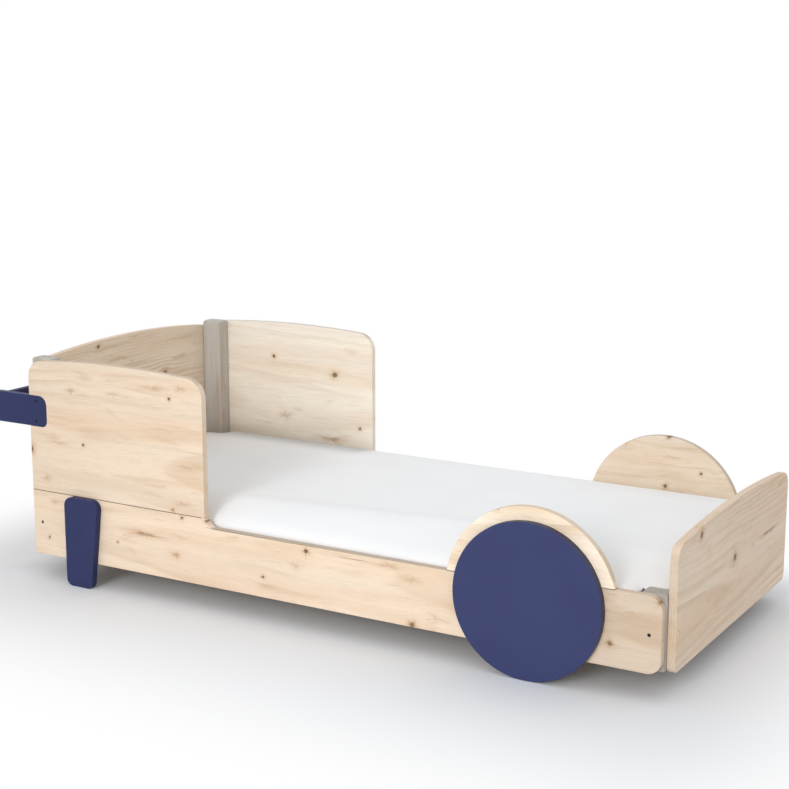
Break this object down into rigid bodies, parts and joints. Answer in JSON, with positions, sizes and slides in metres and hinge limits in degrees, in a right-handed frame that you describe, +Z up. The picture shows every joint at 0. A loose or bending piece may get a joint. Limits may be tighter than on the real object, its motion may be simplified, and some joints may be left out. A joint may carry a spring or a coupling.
{
  "type": "toddler floor bed",
  "caption": "Low pine toddler bed shaped like a pushcart: arched guard panels at the head, painted wheel discs and arches near the foot, a push handle, slatted base and mattress.",
  "frame": {"origin": "on the floor, under the middle of the overall box", "axes": "+Z up, +X along the bed towards the foot end, +Y towards the right side as seen from the foot end"},
  "size_m": [2.2366, 0.994, 0.6929],
  "materials": {
    "pine": "clear matt lacquer on knotty pine",
    "post_pine": "clear matt lacquer on pine, eased edges",
    "navy_paint": "satin navy paint on wood board",
    "white_fabric": "smooth white mattress cover",
    "webbing": "woven cotton tape",
    "dark_steel": "burnished fastener"
  },
  "bodies": {
    "root": {"side_rail_left": "pine", "guard_panel_left": "pine", "wheel_arch_left": "pine", "wheel_disc_left": "navy_paint", "leg_left": "navy_paint", "handle_arm_left": "navy_paint", "slat_ledger_left": "pine", "slat_tape_left": "webbing", "head_post_left": "post_pine", "rail_bolt_head_left": "dark_steel", "barrel_nut_head_left": "dark_steel", "headboard_screw_left": "dark_steel", "foot_post_left": "post_pine", "rail_bolt_foot_left": "dark_steel", "barrel_nut_foot_left": "dark_steel", "footboard_screw_left": "dark_steel", "arm_screw_lower_left": "dark_steel", "arm_screw_upper_left": "dark_steel", "leg_screw_upper_left": "dark_steel", "leg_screw_lower_left": "dark_steel", "wheel_screw_arch_left": "dark_steel", "wheel_screw_rail_left": "dark_steel", "side_rail_right": "pine", "guard_panel_right": "pine", "wheel_arch_right": "pine", "wheel_disc_right": "navy_paint", "leg_right": "navy_paint", "handle_arm_right": "navy_paint", "slat_ledger_right": "pine", "slat_tape_right": "webbing", "head_post_right": "post_pine", "rail_bolt_head_right": "dark_steel", "barrel_nut_head_right": "dark_steel", "headboard_screw_right": "dark_steel", "foot_post_right": "post_pine", "rail_bolt_foot_right": "dark_steel", "barrel_nut_foot_right": "dark_steel", "footboard_screw_right": "dark_steel", "arm_screw_lower_right": "dark_steel", "arm_screw_upper_right": "dark_steel", "leg_screw_upper_right": "dark_steel", "leg_screw_lower_right": "dark_steel", "wheel_screw_arch_right": "dark_steel", "wheel_screw_rail_right": "dark_steel", "headboard": "pine", "footboard": "pine", "handle_crossbar": "navy_paint", "slat_01": "pine", "slat_02": "pine", "slat_03": "pine", "slat_04": "pine", "slat_05": "pine", "slat_06": "pine", "slat_07": "pine", "slat_08": "pine", "slat_09": "pine", "slat_10": "pine", "slat_11": "pine", "slat_12": "pine", "mattress": "white_fabric"}
  },
  "joints": []
}
